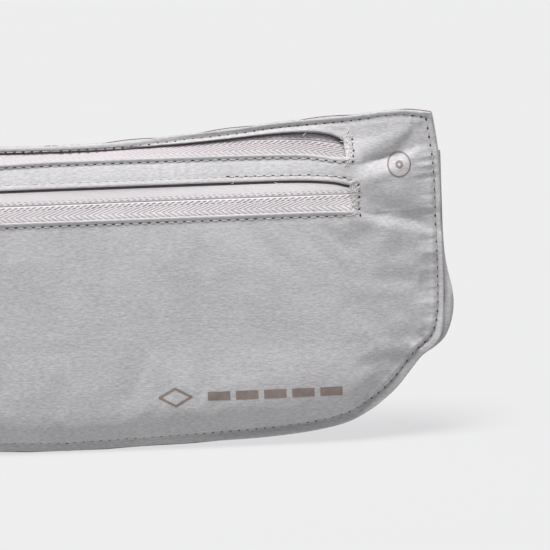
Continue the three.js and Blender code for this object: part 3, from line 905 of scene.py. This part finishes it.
def inner_sheet(name, node, depth, keep_off, z_top):
    """A sheet inside the pouch, cut keep_off mm inside the seams and at the height z_top."""
    pick = (dist > keep_off) & (Z < z_top)
    cut = [[not (pick[r, c] and pick[r, c + 1] and pick[r + 1, c] and pick[r + 1, c + 1])
            for c in range(COLS - 1)] for r in range(ROWS - 1)]
    verts = np.stack([X, depth, Z], -1).reshape(-1, 3)
    o = new_object(name, verts, grid_faces(ROWS, COLS, cut), lining_cloth, shell_uv)
    loose = bmesh.new()
    loose.from_mesh(o.data)
    bmesh.ops.delete(loose, geom=[v for v in loose.verts if not v.link_faces], context="VERTS")
    loose.to_mesh(o.data)
    loose.free()
    m = o.modifiers.new("fewer", "DECIMATE")
    m.ratio = 0.12
    apply_modifiers(o)
    thicken(o, 0.2)
    place(o, "pouch", "lining", node)


inner_sheet("front_lining_sheet", "front_shield_lining", Y + 1.5, 7, 84)
inner_sheet("divider_sheet", "pocket_divider", RIM_Y + 0.5 - (4.4 - 2.0 * ease(78, 87, Z)) * full, 6, 104)
inner_sheet("back_lining_sheet", "back_shield_lining", -4.0 + (BACK_Y + 2.0) * full, 7, 104)

LEVEL_TOP = 105      # rows of the back are level up to here, then turn towards the top edge
heights = np.concatenate([np.arange(0, 8, 0.9), np.arange(8, ROW_BEND, 2.0),
                          np.arange(ROW_BEND, LEVEL_TOP, 2.2)])
BC = 201             # points in each row of the back
ub = np.linspace(-1, 1, BC)
bx, bz = [], []
for h in heights:
    if h < ROW_BEND:
        bx.append(ub * low_row_x(h))
        bz.append((1 - h / ROW_BEND) * smooth_curve(BOTTOM, np.abs(ub) * LOW_CORNER[0]) + h)
    else:
        bx.append(ub * side_x(h))
        bz.append(np.full(BC, float(h)))
for f in np.linspace(0, 1, 12):
    x = ub * side_x(LEVEL_TOP + (TOP_CORNER[1] - LEVEL_TOP) * f)
    bx.append(x)
    bz.append((1 - f) * LEVEL_TOP + f * smooth_curve(TOP, np.abs(x)))
BX, BZ = np.array(bx), np.array(bz)
b_dist, b_along = edge_distance(BX, BZ)
b_full = swell(BX, BZ)
top_roll = np.clip((smooth_curve(TOP, np.abs(BX)) - BZ) / 12, 0, 1)
b_full = b_full * (1 - (1 - top_roll) ** 2.2)
near = ease(11, 0, b_dist)
wide = 0.7 + 3.4 * bump_at(BZ, 51.5, 13) * ease(30, 37, BZ)
BX = BX + np.sign(BX) * near * wide * ease(20, 36, BZ)
BZ = BZ + 0.15 * near * ease(100, 112, BZ)
b_groove = bump_at(b_dist, 3.0, 0.8) * 0.5
b_slack = ease(5, 20, b_dist)
rear_y = -4.1 + (BACK_Y + 4.1) * b_full
rear_y += 0.35 * np.sin(np.clip(b_dist / 3.0, 0, 1) * math.pi) - b_groove
rear_y -= b_slack * (0.3 + 0.3 * field(BX, BZ, 26, 4.4, 1.6))
rear_y -= 0.3 * field(b_along, b_along * 0, 6, 9.9) * bump_at(b_dist, 6, 3)
# The side that faces the front layer, with a fold where it stands wider than the front.
fold_line = np.abs((np.abs(BX) - 144.5) * 0.92 - (BZ - 44) * 0.26)
fold_share = np.exp(-(fold_line / 0.9) ** 2) * ease(40, 44, BZ) * ease(62, 58, BZ)
face_y = -4.9 - 0.5 * bump_at(b_dist, 0.6, 0.9) - 1.3 * fold_share
face_y += 0.6 * ease(3, 8, b_dist)
rows_b = len(BX)
verts = np.concatenate([np.stack([BX, y, BZ], -1).reshape(-1, 3) for y in (rear_y, face_y)])
base = rows_b * BC
rear_faces = grid_faces(rows_b, BC, flip=True)
faces = rear_faces + [[i + base for i in f[::-1]] for f in rear_faces]
rim = (list(range(BC)) + [r * BC + BC - 1 for r in range(1, rows_b)]
       + [(rows_b - 1) * BC + c for c in range(BC - 2, -1, -1)] + [r * BC for r in range(rows_b - 2, 0, -1)])
for a, b in zip(rim, rim[1:] + rim[:1]):
    faces.append([a, b, b + base, a + base])
back_uv = np.concatenate([np.stack([BX, BZ], -1).reshape(-1, 2)] * 2)
back = new_object("back_cloth", verts, faces, back_mesh, back_uv)
back.data.materials.append(shell_cloth)
# Plain cloth in the hem and in front, and mesh on the rest of the rear.
face_dist = np.array([b_dist.ravel()[f].mean() for f in rear_faces])
plain_faces = np.ones(len(faces), np.int32)
plain_faces[:len(face_dist)] = face_dist < HEM
back.data.polygons.foreach_set("material_index", plain_faces)
place(back, "pouch", "back_fabric", "back_panel")
rear_surface = BVHTree.FromPolygons([tuple(v * MM) for v in verts[:base]], rear_faces)


def on_back(x, z):
    return probe(rear_surface, x, z, 1, 0)


threads, holes = Bundle(), Bundle()
for sign in (1, -1):
    stitches(threads, holes, hem_path * [sign, 1], locate=on_back, seed=31 + sign)
place(threads.object("rear_seam_threads", thread_light), "pouch", "back_fabric")
# The needle holes behind are painted shade.
place(holes.object("rear_needle_hole_shades", needle_hole_shade), "pouch", "back_fabric")


# ---------------- webbing
def webbing_material():
    n = Nodes("belt_webbing")
    x, y, z = n.coordinates("Object")
    x, z = n.maths("DIVIDE", x, MM), n.maths("DIVIDE", z, MM)
    zigzag = n.maths("PINGPONG", z, 3.1)
    ribs = n.wave(n.times_add(zigzag, 1.15, x), 1.5)
    ends = n.wave(z, 0.78)
    soft = n.noise(n.vector(x, z), 0.25, 3.0)
    weave = n.times_add(ribs, 0.7, n.times(ends, 0.3))
    shade = n.times_add(weave, 0.6, n.times(soft, 0.4))
    color = n.mix(n.band(shade, 0.45, 2.0, 0.35), srgb("6B615A"), srgb("9A8F86"))
    return n.finish(color, 0.8, weave, 0.2, Sheen_Weight=0.2, Specular_IOR_Level=0.3)


webbing_look = webbing_material()
belt_lo, belt_hi = node_box("belt_webbing_right")
BELT_Z, BELT_WIDTH = (belt_lo[2] + belt_hi[2]) / 2, belt_hi[2] - belt_lo[2]
BELT_THICK = 1.5
NEAR_Y, MID_Y, OUT_Y = 4.0, 6.7, 12.6    # the three stowed passes
WRAP = 2.55     # half the spread of the two layers round a buckle bar


def rounded_turn(x, y0, y1, direction):
    """Half-circle fold of the belt in X and Y."""
    r, c = abs(y1 - y0) / 2, (y0 + y1) / 2
    sign = 1 if y1 > y0 else -1
    return [(x + direction * r * math.sin(t), c - sign * r * math.cos(t))
            for t in np.linspace(0, math.pi, 14)]


def densify(path):
    """The same path with a point at least every 2 mm."""
    p = np.array(path, float)
    run = run_along(p)
    s = np.unique(np.concatenate([run, np.arange(0, run[-1], 2.0)]))
    s = s[np.concatenate([[True], np.diff(s) > 0.12])]
    return np.stack([np.interp(s, run, p[:, 0]), np.interp(s, run, p[:, 1])], 1)


def strap(name, path):
    """Woven strap on edge along (x, y) points, with full, rounded selvedges."""
    half = BELT_WIDTH / 2
    p = densify(path)
    profile = []
    for v in np.linspace(-1, 1, 17):
        edge = math.sqrt(max(1 - max(abs(v) * half - (half - 0.8), 0) ** 2 / 0.64, 0.02))
        profile.append((v * half, BELT_THICK / 2 * edge * (0.92 + 0.05 * math.cos(v * 12 * math.pi))))
    section = profile + [(v, -t) for v, t in profile[::-1]]
    b = Bundle()
    rings = []
    for i in range(len(p)):
        d = p[min(i + 1, len(p) - 1)] - p[max(i - 1, 0)]
        d = d / max(np.hypot(*d), 1e-9)
        rings.append([(p[i][0] - d[1] * t, p[i][1] + d[0] * t, BELT_Z + v) for v, t in section])
    b.rings(rings)
    return b.object(name, webbing_look)


seam_run = [(146.0, -1.3), (143, -0.5), (138, 0.9), (131, 2.7), (124, 3.7), (118, 3.98)]
right_path = seam_run + rounded_turn(-104, NEAR_Y, MID_Y, -1) + rounded_turn(130, MID_Y, OUT_Y, 1)
right_path += [(64, OUT_Y), (50, OUT_Y + 0.3), (42, OUT_Y + 1.4), (36, OUT_Y + WRAP)]
right_path += rounded_turn(31.3, OUT_Y + WRAP, OUT_Y - WRAP, -1)
right_path += [(36, OUT_Y - WRAP), (44, OUT_Y - 1.9), (50, OUT_Y - 1.65), (66, OUT_Y - 1.6)]
place(strap("belt_right", right_path), "pouch", "webbing", "belt_webbing_right")
left_path = [(-x, y) for x, y in seam_run[:5]] + [(-114, 7.2), (-104, OUT_Y - WRAP)]
left_path += rounded_turn(-20.6, OUT_Y - WRAP, OUT_Y + WRAP, 1) + [(-92, OUT_Y + WRAP)]
left_strap = strap("belt_left", left_path)
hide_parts("belt_webbing_left")
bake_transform(left_strap)

# Box stitch that holds the belt's loop round the socket bar, and the folded free end.
threads = Bundle()


def belt_stitches(x0, x1, y, z0, z1):
    for (ax, az), (cx, cz) in (((x0, z0), (x1, z0)), ((x1, z0), (x1, z1)), ((x1, z1), (x0, z1)),
                               ((x0, z1), (x0, z0)), ((x0, z0), (x1, z1))):
        run = math.hypot(cx - ax, cz - az)
        for i in range(int(run / 2.6)):
            f0, f1 = (i * 2.6 + 0.3) / run, (i * 2.6 + 2.3) / run
            pts = [(ax + (cx - ax) * f, y + r, az + (cz - az) * f)
                   for f, r in ((f0, -0.25), (f0 + (f1 - f0) * 0.2, 0.05), ((f0 + f1) / 2, 0.16),
                                (f1 - (f1 - f0) * 0.2, 0.05), (f1, -0.25))]
            threads.tube(pts, 0.24, 6, 0.8, up=(0, 1, 0))


belt_stitches(51, 64, OUT_Y + 0.62, BELT_Z - 10, BELT_Z + 10)
place(threads.object("belt_threads", thread_light), "pouch", "webbing")


# ---------------- moulded and metal hardware
moulding_look = plain("moulded_acetal", srgb("837A73"), srgb("6A625C"), 0.45, 3.0, 0.03,
                      Specular_IOR_Level=0.45)
metal_look = plain("plated_metal", srgb("A9A6A3"), srgb("8E8A87"), 0.42, 2.5, 0.015, Metallic=0.9)


def softened(node, name, body, slot_name, material, width, shift=(0, 0, 0)):
    """A CAD part's shape with rounded edges."""
    work = bmesh.new()
    work.from_mesh(frame["nodes"][node].data)
    bmesh.ops.remove_doubles(work, verts=work.verts, dist=1e-6)
    bmesh.ops.dissolve_limit(work, angle_limit=math.radians(2), verts=work.verts, edges=work.edges)
    sharp = [e for e in work.edges if len(e.link_faces) == 2 and e.calc_face_angle(0) > math.radians(35)]
    bmesh.ops.bevel(work, geom=sharp, offset=width * MM, offset_type="OFFSET", segments=2, profile=0.6,
                    affect="EDGES", clamp_overlap=True)
    bmesh.ops.translate(work, verts=work.verts, vec=Vector(shift) * MM)
    mesh = bpy.data.meshes.new(name)
    work.to_mesh(mesh)
    work.free()
    mesh.polygons.foreach_set("use_smooth", [True] * len(mesh.polygons))
    mesh.set_sharp_from_angle(angle=math.radians(32))
    o = link(bpy.data.objects.new(name, mesh))
    o.data.materials.append(material)
    return place(o, body, slot_name, node)


for node, name, body, width in (("buckle_socket", "socket_shell", "pouch", 0.6),
                                ("buckle_plug", "plug_body", "plug", 0.5),
                                ("buckle_latch_lower", "latch_arm_lower", "latch_lower", 0.4),
                                ("buckle_latch_upper", "latch_arm_upper", "latch_upper", 0.4),
                                ("belt_adjuster", "adjuster_frame", "adjuster", 0.45)):
    softened(node, name, body, "moulding", moulding_look, width)
for zone in ("lower", "upper"):
    softened(f"{zone}_zip_slider", f"{zone}_slider_body", f"{zone}_slider", "zip_metal", metal_look, 0.25)
    softened(f"{zone}_zip_pull", f"{zone}_pull_tab", f"{zone}_pull", "zip_metal", metal_look, 0.2)
    for stop in ("top_stop_front", "top_stop_rear", "bottom_stop"):
        softened(f"{zone}_zip_{stop}", f"{zone}_{stop}_crimp", "pouch", "zip_metal", metal_look, 0.15,
                 (0, 2.6, 0) if zone == "upper" and "top" in stop else (0, 0.9, 0))


# ---------------- generic marks
ink = Bundle()


def ink_strip(points, width):
    """Flat printed line along (x, z) points, laid on the cloth."""
    p = [np.array(q, float) for q in points]
    across = max(2, int(width / 0.5) + 2)
    base, m = len(ink.verts), len(p)
    for k in range(across):
        s = k / (across - 1) - 0.5
        for i, q in enumerate(p):
            d = p[min(i + 1, m - 1)] - p[max(i - 1, 0)]
            d = d / max(np.hypot(*d), 1e-9)
            hit, n = on_front(q[0] + d[1] * width * s, q[1] - d[0] * width * s)
            ink.verts.append(hit + n * 0.07)
    ink.faces.extend([base + c for c in f] for f in grid_faces(across, m, flip=True))


def ink_ellipse(x, z, rx, rz, width):
    ink_strip([(x + rx * math.cos(t), z + rz * math.sin(t)) for t in np.linspace(0, 2 * math.pi, 72)], width)


RING_AT, MARK_Z = (129.9, 105.4), 21.0
ink_ellipse(*RING_AT, 4.2, 4.5, 0.55)
ink_ellipse(*RING_AT, 1.0, 1.0, 0.9)
lozenge = [(42.8 + a, MARK_Z + b) for a, b in ((-6, 0), (0, 3.4), (6, 0), (0, -3.4))]
for (ax, az), (cx, cz) in zip(lozenge, lozenge[1:] + lozenge[:1]):
    ink_strip([(ax + (cx - ax) * t, az + (cz - az) * t) for t in np.linspace(-0.04, 1.04, 16)], 0.9)
for i in range(5):
    x0 = 55 + 10.6 * i
    ink_strip([(x, MARK_Z) for x in np.linspace(x0, x0 + 8.4, 16)], 3.4)
place(ink.object("printed_marks", mark_ink), "pouch", "face_fabric")


# ---------------- floor, light and camera
def studio():
    """A wide pale floor and a far low wall, so that every view has the same plain background."""
    n = Nodes("studio_floor")
    x, y, z = n.coordinates("Object")
    color = n.mix(n.noise(n.vector(x, y, z), 3.0, 2.0), (0.09, 0.09, 0.088, 1), (0.094, 0.094, 0.092, 1))
    n.link((0.667, 0.667, 0.677, 1), n.shader.inputs["Emission Color"])
    floor = n.finish(color, 0.95, Emission_Strength=1.0, Specular_IOR_Level=0.0)
    around = np.linspace(0, 2 * math.pi, 64, endpoint=False)
    verts = [(0, 0, 0)] + [(30000 * math.cos(a), 30000 * math.sin(a), 0) for a in around]
    disc = new_object("studio_floor", verts, [[0, 1 + i, 1 + (i + 1) % 64] for i in range(64)], floor)
    n = Nodes("studio_wall")
    x, y, z = n.coordinates("Object")
    color = n.mix(n.noise(n.vector(x, y, z), 0.3, 1.0), (0.83, 0.83, 0.83, 1), (0.84, 0.84, 0.84, 1))
    n.link(color, n.shader.inputs["Emission Color"])
    wall_look = n.finish((0, 0, 0, 1), 1.0, Emission_Strength=1.0, Specular_IOR_Level=0.0)
    ring = [(r * math.cos(a), r * math.sin(a), h) for r, h in ((30000, 0), (30300, 300), (30500, 6000))
            for a in around]
    faces = [[k * 64 + i, k * 64 + (i + 1) % 64, (k + 1) * 64 + (i + 1) % 64, (k + 1) * 64 + i]
             for k in range(2) for i in range(64)]
    new_object("studio_wall", ring, faces, wall_look)


studio()


def sun(name, azimuth, elevation, strength, angle):
    """Soft light from a direction: azimuth 0 is in front, positive from the right."""
    light = bpy.data.lights.new(name, "SUN")
    light.energy, light.angle = strength, math.radians(angle)
    o = link(bpy.data.objects.new(name, light))
    a, e = math.radians(azimuth), math.radians(elevation)
    towards = Vector((math.sin(a) * math.cos(e), -math.cos(a) * math.cos(e), math.sin(e)))
    o.rotation_euler = (-towards).to_track_quat("-Z", "Y").to_euler()


sun("key_overhead", azimuth=-26, elevation=70, strength=1.8 * math.pi, angle=30)

world = bpy.data.worlds.new("studio_air")
bpy.context.scene.world = world
world.use_nodes = True
world.node_tree.nodes["Background"].inputs[0].default_value = (0.96, 0.97, 1.0, 1)
world.node_tree.nodes["Background"].inputs[1].default_value = 0.3
bpy.context.scene.view_settings.view_transform = "Standard"

AIM = Vector((0.082, -0.010, 0.0655))
DISTANCE, ELEVATION, ROLL = 0.8, math.radians(8), math.radians(-2.2)
VIEW_WIDTH = 0.2068
lens = bpy.data.cameras.new("camera")
lens.sensor_width = 36
lens.lens = 36 * DISTANCE / VIEW_WIDTH
lens.clip_end = 100
camera = link(bpy.data.objects.new("camera", lens))
from_object = Vector((0, -math.cos(ELEVATION), math.sin(ELEVATION)))
camera.matrix_world = (Matrix.Translation(AIM + from_object * DISTANCE)
                       @ Matrix.Rotation(math.pi / 2 - ELEVATION, 4, "X") @ Matrix.Rotation(ROLL, 4, "Z"))
bpy.context.scene.camera = camera
